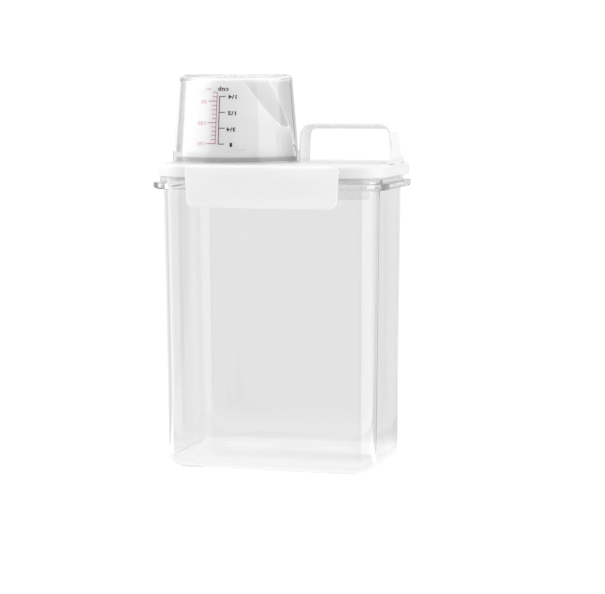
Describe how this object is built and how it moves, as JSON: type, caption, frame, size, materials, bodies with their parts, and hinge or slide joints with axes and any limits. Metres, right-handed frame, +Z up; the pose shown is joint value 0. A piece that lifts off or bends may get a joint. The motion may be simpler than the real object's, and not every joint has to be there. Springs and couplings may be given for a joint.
{
  "type": "laundry powder dispenser",
  "caption": "Clear rectangular powder container with a white latched lid, carrying handle, slant-cut pouring spout and a clear measuring cup over it.",
  "frame": {"origin": "middle of the base, on the surface it stands on", "axes": "+Z up; -Y towards the front latch; +X towards the carrying handle, -X towards the spout and measuring cup"},
  "size_m": [0.1476, 0.1016, 0.24],
  "materials": {
    "clear_body": "clear polished moulding",
    "clear_cup": "clear polished moulding with a printed scale",
    "white_lid": "satin polypropylene",
    "white_latch": "satin polypropylene",
    "white_spout": "satin polypropylene, slightly translucent",
    "seal_rubber": "translucent silicone"
  },
  "bodies": {
    "box": {"container": "clear_body", "lid": "white_lid", "lid_gasket": "seal_rubber", "spout": "white_spout", "cup_seal": "seal_rubber"},
    "front_flap": {"front_latch": "white_latch"},
    "rear_flap": {"rear_latch": "white_latch"},
    "cup": {"measuring_cup": "clear_cup"}
  },
  "joints": [
    {"name": "front_latch_hinge", "type": "hinge", "parent": "box", "child": "front_flap", "pos_m": [0.0013, -0.0489, 0.184], "axis": [-1, 0, 0], "range_deg": [0, 120]},
    {"name": "rear_latch_hinge", "type": "hinge", "parent": "box", "child": "rear_flap", "pos_m": [0.0013, 0.0489, 0.184], "axis": [1, 0, 0], "range_deg": [0, 120]},
    {"name": "cup_lift", "type": "slide", "parent": "box", "child": "cup", "axis": [0, 0, 1], "range_m": [0, 0.055]}
  ]
}
